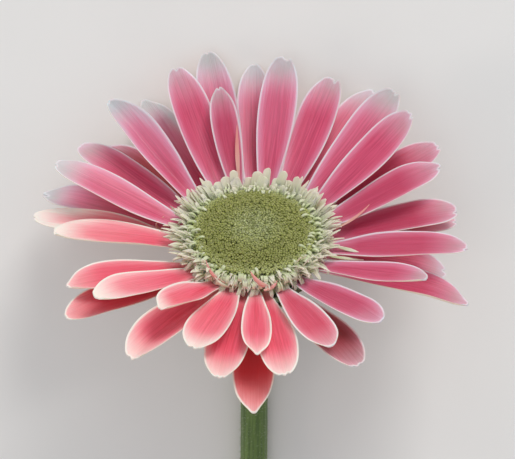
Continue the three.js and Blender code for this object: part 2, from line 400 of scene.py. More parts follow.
def petal_face():
    material, tree, shader = new_finish("petal_face", 0.45, (0.35, 0.6, (1.0, 0.35, 0.4)), Sheen_Weight=0.1)
    along, from_middle = along_and_across(tree)
    edge_mm, _ = map_values(tree, "edge")
    tone, painted_warm_light = map_values(tree, "tone")
    veins = placed(tree, VEINS, {"Count per mm": 2.1, "Length": 16.0})
    cells = placed(tree, CELLS, {"Size mm": 7.0})

    deep = times(tree, veins["Streaks"], stepped(tree, from_middle, 0.1, 0.95, 0.80, 0.2))
    # On one side of the head the rose takes a painted warm light.
    full, dark = blended(tree, painted_warm_light, ROSE, ROSE_IN_WARM_LIGHT), blended(tree, painted_warm_light, DEEP_ROSE, DEEP_ROSE_IN_WARM_LIGHT)
    rose = blended(tree, deep, full, dark)
    # Below the ordinary tone the rose deepens to crimson and garnet: painted shade in part, on rays that lie
    # under others.
    rose = blended(tree, stepped(tree, tone, ORDINARY, 0.15, 0.0, 0.8), rose, dark)
    rose = blended(tree, stepped(tree, tone, 0.15, 0.0, 0.0, 0.9), rose, CRIMSON_PART_PAINTED_SHADE)
    rose = blended(tree, stepped(tree, tone, 0.0, -0.5), rose, GARNET_PAINTED_SHADE)
    # The pale outer half is partly fading and partly painted light, on the rays of one side.
    outer_half = times(tree, stepped(tree, along, 0.25, 0.9),
                       stepped(tree, from_middle, 0.1, 0.9, 0.7, 1.1))
    fade_and_painted_light = times(tree, stepped(tree, tone, ORDINARY, 1.0), outer_half)
    ends = ramp(tree, along, [(0.0, 0.7), (0.2, 0.3), (0.34, 0.02), (0.72, 0.02), (0.9, 0.30), (1.0, 0.60)])
    # The halo is weaker on the deep rays, as part of their painted shade.
    halo = times(tree, stepped(tree, edge_mm, 2.4, 0.3, 0.0, 0.55),
                 stepped(tree, tone, 0.0, 0.5, 0.35, 1.0))
    pale = sum_of(tree, "ADD", sum_of(tree, "ADD", ends, halo), times(tree, fade_and_painted_light, 0.9))
    uneven = stepped(tree, veins["Ridges"], 0.0, 1.0, 0.8, 1.15)
    blush = blended(tree, painted_warm_light, BLUSH_IN_COOL_LIGHT, BLUSH_IN_WARM_LIGHT)
    face_colour = blended(tree, times(tree, pale, uneven, clamp=True), rose, blush)

    cream = blended(tree, painted_warm_light, CREAM_IN_COOL_LIGHT, CREAM_IN_WARM_LIGHT)
    tip = times(tree, stepped(tree, along, 0.75, 1.0), stepped(tree, tone, 0.2, 0.8, 0.15, 0.95))
    chalky = times(tree, stepped(tree, fade_and_painted_light, 0.5, 1.0, 0.0, 0.95), uneven)
    # The cream margin is brighter where the painted warm light falls.
    margin = times(tree, stepped(tree, edge_mm, 0.65, 0.15),
                   stepped(tree, painted_warm_light, 0.0, 0.7, 0.75, 1.0))
    chalk = blended(tree, painted_warm_light, CHALK_IN_COOL_LIGHT, CREAM_IN_WARM_LIGHT)
    tipped = blended(tree, sum_of(tree, "MAXIMUM", tip, chalky), face_colour, chalk)
    edged = blended(tree, margin, tipped, cream)
    bruised = times(tree, stepped(tree, along, 0.82, 0.97, 0.0, 0.35), cells["Patches"])
    base = blended(tree, times(tree, bruised, stepped(tree, painted_warm_light, 0.8, 0.0)), edged, BRUISE)
    tree.links.new(base, shader.inputs["Base Color"])
    tree.links.new(stepped(tree, veins["Ridges"], 0.0, 1.0, 0.38, 0.52), shader.inputs["Roughness"])
    bumped(tree, shader, veins["Ridges"], 0.03)
    return material


def petal_underside():
    material, tree, shader = new_finish("petal_underside", 0.55, (0.35, 0.6, (1.0, 0.4, 0.4)),
                                        Sheen_Weight=0.2)
    along, from_middle = along_and_across(tree)
    veins = placed(tree, VEINS, {"Count per mm": 1.3, "Length": 16.0})
    streaked = blended(tree, times(tree, veins["Streaks"], 0.45), PETAL_BACK, BACK_STREAK)
    pale = sum_of(tree, "MAXIMUM", stepped(tree, from_middle, 0.5, 0.95), stepped(tree, along, 0.35, 0.0))
    tree.links.new(blended(tree, pale, streaked, BACK_CREAM), shader.inputs["Base Color"])
    bumped(tree, shader, veins["Ridges"], 0.06)
    return material


PETAL_FACE = petal_face()
PETAL_UNDERSIDE = petal_underside()
print("petal finishes:", PETAL_FACE.name, PETAL_UNDERSIDE.name)

# %% [markdown]
# ## Ray florets
# Each ray's solid is a cage: eleven cuts of six corners, three across its face and three across
# its back. The cuts give the petal's midrib and margins, and a smooth curve through them gives
# as many fine rings as the petal wants. The fine shape then gets what the cage lacks: a thin
# edge, grooves between the veins, margins that wave, a slight twist and a notched tip.

# %% Reading a ray's solid
def read_cage(node):
    """The two margins and the midrib of a ray, as cuts x 3 x 3, and where each cut lies along it."""
    points = corners(node)
    reach = np.linalg.norm(points - ray_plane, axis=1)
    chord = unit(points[reach.argmax()] - points[reach.argmin()])
    cuts = points[np.argsort(points @ chord)].reshape(-1, 6, 3)
    side = np.cross(face, chord)
    lines = np.array([six[np.argsort(six @ side)].reshape(3, 2, 3).mean(1) for six in cuts])
    travel = (lines[:, 1] - lines[0, 1]) @ chord
    return lines, travel / travel[-1]


def through(values, knots, at):
    """A smooth curve through values given at knots, read off at other places."""
    slope = np.gradient(values, knots, axis=0)
    i = np.clip(np.searchsorted(knots, at) - 1, 0, len(knots) - 2)
    span = (knots[i + 1] - knots[i])[:, None]
    x = (at - knots[i])[:, None] / span
    start = values[i] * (1 + 2 * x) * (1 - x) ** 2 + slope[i] * span * x * (1 - x) ** 2
    end = values[i + 1] * x * x * (3 - 2 * x) + slope[i + 1] * span * x * x * (x - 1)
    return start + end


# %% [markdown]
# ## Each ray's own look
# No two rays match. Those on one side are nearly white on their outer half, partly faded and
# partly painted light, and a few that lie under others are a deep red, partly their own colour and
# partly painted shade. The table gives each ray's tone, 0 for red, 1 for the palest and less than 0
# for garnet, which is painted shade, how pointed it is, and the notches in its tip: where each one
# lies across the tip, from -1 to 1, and its depth in millimetres.

# %% Tones and tips
RAY_LOOKS = {
    "ray_inner_01": (0.25, 0.3, ((-0.45, 0.9),)),
    "ray_inner_02": (0.36, 0.2, ((-0.55, 1.0), (0.2, 0.3))),
    "ray_inner_03": (0.25, 0.3, ((0.15, 0.6),)),
    "ray_inner_04": (0.80, 0.2, ((0.3, 0.5),)),
    "ray_inner_05": (0.66, 0.1, ((0.25, 0.6),)),
    "ray_inner_06": (0.82, 0.2, ((0.0, 0.2),)),
    "ray_inner_07": (0.76, 0.0, ((0.3, 0.3),)),
    "ray_inner_08": (0.62, 0.4, ((-0.1, 0.7),)),
    "ray_inner_09": (0.64, 0.1, ((-0.35, 0.8), (0.3, 0.3))),
    "ray_inner_10": (0.36, 0.6, ((0.0, 0.1),)),
    "ray_inner_11": (0.24, 0.1, ((0.0, 0.1),)),
    "ray_inner_12": (0.25, 0.0, ((0.3, 0.2),)),
    "ray_inner_13": (0.30, 0.1, ((0.0, 0.1),)),
    "ray_inner_14": (0.22, 0.3, ((-0.4, 0.8), (0.2, 0.3))),
    "ray_middle_01": (0.16, 0.1, ((-0.35, 1.1), (0.1, 0.3))),
    "ray_middle_02": (0.62, 0.1, ((-0.35, 1.1), (0.15, 0.5))),
    "ray_middle_03": (0.38, 0.0, ((-0.35, 1.3), (0.1, 0.3))),
    "ray_middle_04": (0.62, 0.0, ((-0.15, 0.5), (-0.45, 0.7))),
    "ray_middle_05": (0.36, 0.1, ((0.0, 0.8),)),
    "ray_middle_06": (0.45, 0.1, ((0.0, 0.2),)),
    "ray_middle_07": (0.30, 0.5, ((0.2, 0.4),)),
    "ray_middle_08": (0.50, 0.1, ((-0.25, 0.6), (0.3, 0.5))),
    "ray_middle_09": (0.48, 0.1, ((-0.3, 0.5), (0.35, 0.6))),
    "ray_outer_01": (0.30, 0.3, ((-0.2, 0.9),)),
    "ray_outer_02": (0.22, 0.2, ((-0.35, 0.9), (0.3, 0.4))),
    "ray_outer_03": (0.55, 0.3, ((-0.2, 0.6),)),
    "ray_outer_04": (0.68, 0.2, ((0.0, 0.2),)),
    "ray_outer_05": (0.70, 0.2, ((0.1, 0.5),)),
    "ray_outer_06": (0.90, 0.6, ((0.0, 0.2),)),
    "ray_outer_07": (-0.45, 0.3, ((0.0, 0.2),)),
    "ray_outer_08": (0.76, 0.5, ((0.25, 2.0),)),
    "ray_outer_09": (1.00, 0.3, ((0.3, 0.8),)),
    "ray_outer_10": (0.12, 0.3, ((0.0, 0.2),)),
    "ray_outer_11": (0.54, 0.1, ((-0.3, 0.6), (0.3, 0.6))),
    "ray_outer_12": (0.02, 0.6, ((0.0, 0.1),)),
    "ray_outer_13": (-0.45, 0.0, ((-0.4, 0.4), (0.3, 0.4))),
    "ray_outer_14": (0.26, 0.7, ((0.0, 0.2),)),
    "ray_outer_15": (0.48, 0.2, ((0.3, 1.0),)),
}
# In this span of directions the rays' pale parts take a painted warm light, and elsewhere a painted cool
# light.
PAINTED_WARM_LIGHT_SIDE = (158, 176, 275, 310)  # degrees: where the warm cream begins, is full, fades and ends
print("looks for", len(RAY_LOOKS), "rays")

# %% [markdown]
# A ray's outline is narrow at the foot, widest past the middle and blunt at the tip. A few rays
# are folded along the midrib like a half-closed book, and one margin of each lifts a little, so
# that its cream underside shows. The distance of every point to the outline is measured once,
# here, because a material can't know where the edge of a petal is.

# %% Growing a petal over a ray
PETAL_ROWS = 46
PETAL_COLUMNS = 27
FOOT_SHARE = 0.22  # the claw's width, as a share of the petal's
WIDEST = 0.70  # how far along a petal is widest
GROOVES = 7
FOLDED = {"ray_inner_04": 0.5, "ray_inner_08": 0.3, "ray_outer_11": 0.3}
CURLED = {"ray_inner_06": 0.24, "ray_inner_07": 0.26, "ray_inner_08": 0.3, "ray_inner_12": 0.2,
          "ray_inner_13": 0.2, "ray_middle_07": 0.1, "ray_outer_10": 0.2, "ray_outer_11": 0.3,
          "ray_outer_14": 0.3}


def petal_outline(s, pointed):
    rising = mix(FOOT_SHARE, 1, np.sin(np.clip(s / WIDEST, 0, 1) * math.pi / 2) ** 1.4)
    past = np.clip((s - WIDEST) / (mix(1.10, 1.03, pointed) * (1 - WIDEST)), 0, 1)
    falling = (1 - past**2.2) ** mix(0.5, 0.72, pointed)
    return np.where(s < WIDEST, rising, falling)


def to_the_edge(flat):
    """How far the points of a flattened petal, rows x columns x 2, lie from its outline."""
    outline = np.concatenate([flat[:, 0], flat[-1], flat[::-1, -1]])
    start, stroke = outline[:-1], np.diff(outline, axis=0)
    away = flat.reshape(-1, 1, 2) - start
    walk = (away * stroke).sum(-1) / np.maximum((stroke**2).sum(-1), 1e-12)
    nearest = start + np.clip(walk, 0, 1)[..., None] * stroke
    gap = np.linalg.norm(flat.reshape(-1, 1, 2) - nearest, axis=-1).min(1)
    return gap.reshape(flat.shape[:2])


def grow_petal(node, index, chance):
    tone, pointed, notches = RAY_LOOKS[node]
    lines, knots = read_cage(node)
    s = 1 - (1 - np.linspace(0, 1, PETAL_ROWS)) ** 1.35
    rib = through(lines[:, 1], knots, s)
    side = unit(through(lines[:, 2] - lines[:, 0], knots, s))
    length = np.linalg.norm(lines[-1, 1] - lines[0, 1])
    widest = np.linalg.norm(lines[:, 2] - lines[:, 0], axis=1).max() / 2
    direction = head_coordinates(lines[-1, 1][None])[1][0]
    along = unit(np.gradient(rib, axis=0))
    out = unit(np.cross(along, side))
    twist = (math.radians(chance.uniform(-7, 7)) * s**2)[:, None]
    side, out = side * np.cos(twist) + out * np.sin(twist), out * np.cos(twist) - side * np.sin(twist)

    t = np.sin(np.linspace(-1, 1, PETAL_COLUMNS) * math.pi / 2)[None, :]
    s = s[:, None]
    half = widest * petal_outline(s, pointed)
    bulk = ease(0.1, 0.45, s)
    raised = -t * math.cos(direction)  # which margin is the higher one above the table
    cup = half * (0.26 * abs(t) ** 1.6 + FOLDED.get(node, 0) * abs(t) * ease(0.1, 0.5, s))
    curl = half * CURLED.get(node, 0.04) * np.clip(raised, 0, 1) ** 5 * bulk
    roll = -half * chance.uniform(0.05, 0.3) * np.clip(-raised, 0, 1) ** 6 * ease(0.4, 0.9, s)
    phase = chance.uniform(0, 2 * math.pi, 2)
    waves = np.where(t < 0, np.sin(9 * s + phase[0]), np.sin(10 * s + phase[1]))
    wave = 0.3 * MM * abs(t) ** 3 * waves * bulk
    grooves = 0.07 * MM * np.cos(math.pi * GROOVES * t) * (1 - t**6) * bulk * ease(1.0, 0.9, s)
    droop = -length * chance.uniform(0.0, 0.03) * ease(0.75, 1.0, s)
    height = cup + curl + roll + wave + droop
    thick = mix(0.44, 0.14, t**2) * MM * mix(1.5, 1, ease(0, 0.3, s))
    cuts = sum(depth * MM * np.exp(-(((t - at) / 0.19) ** 2)) for at, depth in notches)
    pulled = -(cuts + mix(0.7, 1.5, pointed) * MM * t**2) * ease(0.86, 1.0, s)

    middle = rib[:, None] + side[:, None] * (half * t)[..., None] + along[:, None] * pulled[..., None]
    over = middle + out[:, None] * (height + grooves + thick / 2)[..., None]
    under = middle + out[:, None] * (height + grooves * 0.6 - thick / 2)[..., None]
    rings = np.concatenate([over, under[:, ::-1]], 1)[None]

    travel = np.concatenate([[0], np.cumsum(np.linalg.norm(np.diff(rib, axis=0), axis=1))])[:, None]
    edge = to_the_edge(paired(travel + pulled, half * t)) / MM
    across = np.concatenate([t, t[:, ::-1]], 1)
    # How much painted warm light a ray takes depends on where it points round the head.
    degrees = math.degrees(direction) % 360
    painted_warm_light = ease(*PAINTED_WARM_LIGHT_SIDE[:2], degrees) * (1 - ease(*PAINTED_WARM_LIGHT_SIDE[2:], degrees))
    maps = {"shape": paired(s, (across + 1) / 2),
            "place": paired(travel / MM + 70 * index, half * across / MM + 3 * index),
            "edge": paired(np.concatenate([edge, edge[:, ::-1]], 1), 0.0),
            "tone": paired(tone, painted_warm_light)}
    back = np.arange(PETAL_COLUMNS * 2) >= PETAL_COLUMNS - 1
    petal = skin(node.replace("ray", "petal"), rings, maps,
                 [PETAL_FACE, PETAL_UNDERSIDE], back.astype(np.int32))
    settle(petal, "ray_florets", node)
    return petal


rays = sorted(RAY_LOOKS)
petals = [grow_petal(node, i, np.random.default_rng(100 + i)) for i, node in enumerate(rays)]
print("grew", len(petals), "petals of", len(petals[0].data.polygons), "faces each")

# %% [markdown]
# Each ray is joined to the head by a short tube, pale and greenish, which flattens out into the
# petal. From the front the cream ring hides it. It shows from the sides and the back, where
# petals that stopped dead at the head would look glued on.

# %% Tubes at the feet of the rays
TUBE_SIDES = 12
TUBE_REACH = 0.11  # how far out a tube goes, as a share of the petal's length


def grow_tube(node):
    lines, knots = read_cage(node)
    level = np.linspace(0, 1, 9)
    s = level * TUBE_REACH
    rib = through(lines[:, 1], knots, s)
    along = unit(np.gradient(rib, axis=0))
    rib = rib - along * (1.6 * MM * (1 - level) ** 3)[:, None]
    side = unit(through(lines[:, 2] - lines[:, 0], knots, s))
    out = unit(np.cross(along, side))
    widest = np.linalg.norm(lines[:, 2] - lines[:, 0], axis=1).max() / 2
    wide = widest * petal_outline(s, 0.0) * mix(0.95, 0.6, level**2)
    deep = mix(0.85, 0.16, level) * MM
    turn = round_turn(TUBE_SIDES)
    ring = (rib[:, None] + side[:, None] * (wide[:, None] * np.cos(turn))[..., None]
            - out[:, None] * (deep[:, None] * np.sin(turn))[..., None])
    return ring, wide


tubes, tube_widths = (np.array(rows) for rows in zip(*[grow_tube(node) for node in rays]))
print("the tubes end", round(float(tube_widths[:, -1].mean() * 2 / MM), 1), "mm wide")

# %% [markdown]
# ## The finish of the green middle
# Close up, the green middle is a bed of buds with fine pale bristles between them. The youngest
# buds, in the centre, are packed so close under their down that they look smooth and pale. Round
# them the buds are olive with yellow tips and painted shade in the gaps, and the outermost are
# lighter again. The map `shape` runs from a bud's root to its tip, so the painted shade in the gaps
# comes from it, and the map `place` holds how far out a bud stands and a number of its own, which
# makes each a little different.

# %% Disc finishes
CENTRE_GREEN, OUTER_GREEN = colour(0.46, 0.51, 0.25), colour(0.42, 0.46, 0.19)
OLIVE = colour(0.22, 0.24, 0.060)
BUD_TIP, BUD_GAP_PAINTED_SHADE = colour(0.37, 0.39, 0.12), colour(0.19, 0.21, 0.055)


def zones(tree, centre, between, outer):
    """A colour for each zone of the disc, from the centre out."""
    out, own = map_values(tree, "place")
    inner = blended(tree, stepped(tree, out, 0.10, 0.58), centre, between)
    return blended(tree, stepped(tree, out, 0.80, 0.98), inner, outer), out, own


def bud_finish():
    material, tree, shader = new_finish("disc_bud", 0.6, (0.6, 0.9, (0.9, 1.0, 0.5)))
    along, _ = along_and_across(tree)
    cells = placed(tree, CELLS, {"Size mm": 2.6})
    body, out, own = zones(tree, CENTRE_GREEN, OLIVE, OUTER_GREEN)
    lit = times(tree, stepped(tree, along, 0.55, 1.0), stepped(tree, own, 0.1, 1.0, 0.10, 0.65))
    tipped = blended(tree, lit, body, BUD_TIP)
    # Painted shade darkens the root of each bud, in the gaps between them, less in the centre.
    shaded = times(tree, stepped(tree, along, 0.6, 0.1), stepped(tree, out, 0.15, 0.5, 0.10, 0.45))
    base = blended(tree, shaded, tipped, BUD_GAP_PAINTED_SHADE)
    tree.links.new(base, shader.inputs["Base Color"])
    bumped(tree, shader, cells["Specks"], 0.05)
    return material


def bristle_finish():
    material, tree, shader = new_finish("disc_bristle", 0.5)
    along, _ = along_and_across(tree)
    tip, _, own = zones(tree, colour(0.44, 0.49, 0.24), colour(0.30, 0.33, 0.10), colour(0.58, 0.61, 0.35))
    shade = times(tree, along, stepped(tree, own, 0.0, 1.0, 0.5, 1.0))
    tree.links.new(blended(tree, shade, OLIVE, tip), shader.inputs["Base Color"])
    return material


BUD = bud_finish()
BRISTLE = bristle_finish()
print("disc finishes:", BUD.name, BRISTLE.name)

# %% [markdown]
# ## Disc florets
# The buds stand in two sets of spirals, because each new one grew 137.5 degrees round from the
# last, the golden angle. Putting bud number n at a radius that goes with the square root of n
# keeps them evenly packed, and a nudge to each one loosens the spirals as growth does. A bud is a
# ring of ten points, five out and five in, carried up to a closed tip. The CAD dome says how high
# each one stands.

# %% The dome and the places on it
GOLDEN_ANGLE = math.pi * (3 - math.sqrt(5))
disc_corner_radius, _, disc_corner_height = head_coordinates(disc)
upper = disc_corner_height > disc_corner_height.max() * 0.45
dome_order = np.argsort(disc_corner_radius[upper])
dome_radius = disc_corner_radius[upper][dome_order]
dome_height = disc_corner_height[upper][dome_order]


def dome(radius):
    """The height of the disc's solid at a radius, rounded over."""
    return np.interp(radius, dome_radius, dome_height)


def local_frames(radius, direction, lean):
    """Three directions for pieces that stand in the head: out along the radius, round, and up.
    lean tips each one outwards, in radians."""
    outward = in_head(1.0, direction, 0.0) - hub
    around = np.cross(face, outward)
    tall = np.cos(lean)[:, None] * face + np.sin(lean)[:, None] * outward
    flat = np.cos(lean)[:, None] * outward - np.sin(lean)[:, None] * face
    return flat, around, tall


print("the dome is", round(float(dome_height.max()) / MM, 1), "mm high")


# %% Buds
BUDS = 2300
BUD_POINTS = 10
BUD_LEVELS = np.array([0, 0.40, 0.70, 0.88, 0.97, 1.0])
BUD_SWELL = np.array([0.26, 0.36, 0.42, 0.39, 0.29, 0.10]) * MM


def grow_buds(chance):
    n = np.arange(BUDS)
    outer = np.sqrt((n + 0.5) / BUDS)
    radius = (disc_radius - 0.3 * MM) * outer + chance.normal(0, 0.10, BUDS) * MM * ease(0.05, 0.3, outer)
    direction = n * GOLDEN_ANGLE + chance.normal(0, 0.09, BUDS) * MM / radius
    flat, around, tall = local_frames(radius, direction, outer**2 * 0.5 + chance.normal(0, 0.08, BUDS))
    size = mix(0.92, 1.08, outer**2) * chance.uniform(0.8, 1.15, BUDS)
    turn = round_turn(BUD_POINTS)
    star = np.where(np.arange(BUD_POINTS) % 2, 0.80, 1.04)
    bud = np.stack(np.broadcast_arrays(
        BUD_SWELL[:, None] * star * np.cos(turn),
        BUD_SWELL[:, None] * star * np.sin(turn),
        (BUD_LEVELS[:, None] * 1.4 - 1.00) * MM), -1)
    tallness = mix(0.6, 1.0, ease(0.1, 0.6, outer)) * mix(size, 1.0, 0.5)
    points = bud * np.stack([size, size, tallness], -1)[:, None, None]
    feet = in_head(radius, direction, dome(radius) + chance.normal(0, 0.12, BUDS) * MM)
    rings = (feet[:, None, None] + points[..., 0:1] * flat[:, None, None]
             + points[..., 1:2] * around[:, None, None] + points[..., 2:3] * tall[:, None, None])
    own = chance.uniform(0, 1, BUDS)
    return rings, {"shape": paired(BUD_LEVELS[:, None], 0.5),
                   "place": paired(outer, own)[:, None, None]}


buds = skin("disc_buds", *grow_buds(np.random.default_rng(7)), [BUD])
settle(buds, "disc_florets", "disc_florets")
print("the disc has", BUDS, "buds")


# %% [markdown]
# A hair is a skin as well: three small rings, each narrower than the one before, with a bend
# towards the tip. The bristles of the disc, the down on the bracts and the hairs of the stem all
# come from the same function.

# %% Hairs and the disc's bristles
HAIR_LEVELS = np.array([0, 0.5, 1.0])
HAIR_TAPER = np.array([1.0, 0.7, 0.15])
HAIR_SIDES = 4
BRISTLES = 8000


def grow_hairs(feet, growing, bending, length, thickness):
    """Tapering hairs. growing is where each one points, and bending where its tip leans."""
    level = HAIR_LEVELS[None, :, None]
    spine = feet[:, None] + length[:, None, None] * (growing[:, None] * level
                                                     + bending[:, None] * level**2 * 0.35)
    first = unit(np.cross(growing, bending))
    second = np.cross(growing, first)
    turn = round_turn(HAIR_SIDES)
    spokes = first[:, None] * np.cos(turn)[None, :, None] + second[:, None] * np.sin(turn)[None, :, None]
    return spine[:, :, None] + spokes[:, None] * (HAIR_TAPER * thickness)[None, :, None, None]


def grow_bristles(chance):
    outer = chance.uniform(0, 1, BRISTLES) ** 0.62
    radius = (disc_radius - 0.1 * MM) * outer
    direction = chance.uniform(0, 2 * math.pi, BRISTLES)
    _, _, tall = local_frames(radius, direction, outer**2 * 0.5)
    feet = in_head(radius, direction, dome(radius) - 0.3 * MM)
    growing = unit(tall + chance.normal(0, 0.28, (BRISTLES, 3)))
    bending = unit(chance.normal(0, 1, (BRISTLES, 3)))
    length = chance.uniform(0.7, 1.2, BRISTLES) * mix(1.2, 0.85, ease(0.2, 0.6, outer)) * MM
    rings = grow_hairs(feet, growing, bending, length, 0.042 * MM)
    own = chance.uniform(0, 1, BRISTLES)
    return rings, {"shape": paired(HAIR_LEVELS[:, None], 0.5),
                   "place": paired(outer, own)[:, None, None]}


bristles = skin("disc_bristles", *grow_bristles(np.random.default_rng(8)), [BRISTLE])
settle(bristles, "disc_florets")
print("and", BRISTLES, "bristles")

# %% [markdown]
# ## The cream florets
# Round the green middle stand florets with a short cream tongue outside and two thin curling
# strands inside. A tongue is a small petal, so it is made the same way: a spine that leaves its
# foot and bends outwards, with a ring across it at each step. Where the head tips down to the
# table the tongues stand up broad and round. At the sides they are thin and pointed, and on the
# stem's side they are short and curl right over into hooks.

# %% Cream finishes
def tongue_finish(name, root, tip, blush):
    material, tree, shader = new_finish(name, 0.5, (0.5, 0.9, (0.9, 1.0, 0.7)))
    along, from_middle = along_and_across(tree)
    veins = placed(tree, VEINS, {"Count per mm": 2.0, "Length": 6.0})
    cells = placed(tree, CELLS, {"Size mm": 6.0})
    pale = blended(tree, stepped(tree, along, 0.05, 0.85), root, tip)
    blushing = times(tree, cells["Patches"], stepped(tree, along, 0.3, 1.0, 0.0, 0.35))
    warm = blended(tree, blushing, pale, blush)
    streak = times(tree, veins["Streaks"], stepped(tree, along, 0.0, 1.0, 0.25, 0.05))
    tree.links.new(blended(tree, streak, warm, root), shader.inputs["Base Color"])
    bumped(tree, shader, veins["Ridges"], 0.03)
    return material


TONGUE = tongue_finish("cream_tongue", colour(0.48, 0.54, 0.31), colour(0.74, 0.75, 0.58),
                       colour(0.82, 0.66, 0.56))
GREEN_TONGUE = tongue_finish("green_tongue", colour(0.44, 0.51, 0.23), colour(0.74, 0.78, 0.57),
                             colour(0.74, 0.75, 0.54))
STRAND = tongue_finish("pink_strand", colour(0.78, 0.46, 0.38), colour(0.80, 0.28, 0.28),
                       colour(0.84, 0.50, 0.42))
print("cream finishes:", TONGUE.name, GREEN_TONGUE.name, STRAND.name)


# %% Growing tongues
def growing_out(direction, foot, start_lean, end_lean, length, chance, rows, lowest):
    """Spines that leave a foot, (radius, height), at one lean from upright and end at another.
    One that would dip below the lowest height is made smaller."""
    level = np.linspace(0, 1, rows)[None]
    lean = mix(start_lean[:, None], end_lean[:, None], level**1.4)
    step = length[:, None] / (rows - 1)
    start = np.zeros((len(direction), 1))
    outwards = np.concatenate([start, np.cumsum(np.sin(lean[:, 1:]) * step, 1)], 1)
    upwards = np.concatenate([start, np.cumsum(np.cos(lean[:, 1:]) * step, 1)], 1)
    room = (foot[1] - lowest) / np.maximum(-upwards.min(1), 0.01 * MM)
    size = np.clip(room, 0.2, 1)[:, None]
    sway = chance.normal(0, 0.035, (len(direction), 1)) * level**2
    radius, height = (start_at[:, None] + moved * size for start_at, moved in zip(foot, (outwards, upwards)))
    return in_head(radius, direction[:, None] + sway, height)


def tongues_along(spine, width, pointed, chance, columns=7, thickness=(0.34, 0.14)):
    """Tongues that follow their spines, pieces x rows x 3. pointed runs from round to sharp, and
    thickness is that of the middle and of the margins, in millimetres."""
    count, rows = spine.shape[:2]
    level = np.linspace(0, 1, rows)[None]
    along = unit(np.gradient(spine, axis=1))
    outward = in_head(1.0, head_coordinates(spine[:, 0])[1], 0.0) - hub
    around = unit(np.cross(face, outward))[:, None]
    around = unit(around - along * (around * along).sum(-1, keepdims=True))
    inward = np.cross(along, around)
    roll = chance.normal(0, 0.22, (count, 1, 1)) * level[..., None]
    around, inward = (around * np.cos(roll) + inward * np.sin(roll),
                      inward * np.cos(roll) - around * np.sin(roll))
    t = np.sin(np.linspace(-1, 1, columns) * math.pi / 2)
    bluntness = mix(1.0, 0.45, pointed)[:, None]
    past = np.clip((level - mix(0.84, 0.35, pointed)[:, None]) / mix(0.163, 0.67, pointed)[:, None], 0, 1)
    swell = mix(0.5, 1.0, ease(0, 0.5, level)) * np.clip(1 - past**2, 0.002, 1) ** (0.5 / bluntness)
    half = width[:, None] / 2 * swell
    cup = chance.uniform(0.15, 0.45, (count, 1, 1)) * half[..., None] * t**2
    thick = mix(thickness[0], thickness[1], t**2) * MM
    middle = spine[:, :, None] + around[:, :, None] * (half[..., None] * t)[..., None]
    over = middle + inward[:, :, None] * (cup + thick / 2)[..., None]
    under = middle + inward[:, :, None] * (cup - thick / 2)[..., None]
    rings = np.concatenate([over, under[:, :, ::-1]], 2)
    across = np.concatenate([t, t[::-1]])
    number = np.arange(count)[:, None, None]
    length = np.linalg.norm(np.diff(spine, axis=1), axis=2).sum(1)[:, None, None] / MM
    return rings, {"shape": paired(level[..., None], (across + 1) / 2),
                   "place": paired(level[..., None] * length + 9 * number, half[..., None] * across / MM)}


def ring_of(count, chance, jitter):
    """Directions that go once round the head, each moved a little."""
    return (np.arange(count) + chance.uniform(-jitter, jitter, count)) / count * 2 * math.pi


def facing_table(direction):
    """1 on the side of the head nearest the table, and 0 on the stem's side."""
    return ease(0.2, 0.85, np.sin(direction))


# %% [markdown]
# The cream florets are joined at their feet into a fluted collar, which shows as pale green
# between the tongues. Above it the ring is filled in five passes, from the broad outer tongues
# to the finest strands. Every pass draws its lengths and leans at random round the same rule,
# with a seed of its own.

# %% The collar
COLLAR_FLUTES = 64
COLLAR_WALL = np.array([(15.4, 0.6), (16.6, 0.7), (17.6, 1.2), (18.4, 1.9), (18.6, 2.4), (18.1, 2.9),
                        (17.2, 3.2), (16.2, 3.4), (15.4, 3.3)])  # radius and height over the hub, mm


def grow_collar():
    count = COLLAR_FLUTES * 6
    s = np.linspace(0, 1, 22)
    wall = through(COLLAR_WALL, np.linspace(0, 1, len(COLLAR_WALL)), s)
    direction = np.arange(count) / count * 2 * math.pi
    flutes = 0.45 * np.sin(s * math.pi)[:, None] * (abs(np.cos(direction * COLLAR_FLUTES / 2)) - 0.5)[None]
    rings = in_head((wall[:, :1] + flutes) * MM, direction[None], (wall[:, 1:] + flutes * 0.6) * MM)
    fold = there_and_back(count)
    return rings[None], {"shape": paired(0.35 * np.sin(s * math.pi)[:, None], fold),
                         "place": paired(s[:, None] * 6, fold * 55)}


collar = skin("cream_collar", *grow_collar(), [TONGUE])
settle(collar, "cream_florets")
print("the collar is", round(max(collar.dimensions) / MM), "mm across")

# %% [markdown]
# Each pass returns its rings and maps, and one loop at the end makes the pieces.

# %% Five passes round the ring
def outer_tongues(chance, count=64):
    direction = ring_of(count, chance, 0.4)
    top = facing_table(direction)
    bottom = facing_table(-direction)
    foot = (disc_radius + chance.uniform(-0.6, 1.0, count) * MM, chance.uniform(0.5, 2.0, count) * MM)
    start_lean = mix(0.85, 0.42, top) + chance.normal(0, 0.10, count)
    end_lean = mix(1.45, 0.95, top) + 1.9 * bottom + chance.normal(0, 0.2, count) * mix(1.0, 2.0, bottom)
    length = (mix(7.2, 7.6, top) - 1.4 * bottom) * chance.uniform(0.72, 1.08, count) * MM
    spine = growing_out(direction, foot, start_lean, end_lean, length, chance, 20, -0.5 * MM)
    width = mix(1.15, 2.75, top) * chance.uniform(0.82, 1.12, count) * MM
    return tongues_along(spine, width, mix(0.8, 0.0, np.maximum(top, bottom * 0.8)), chance, 9)


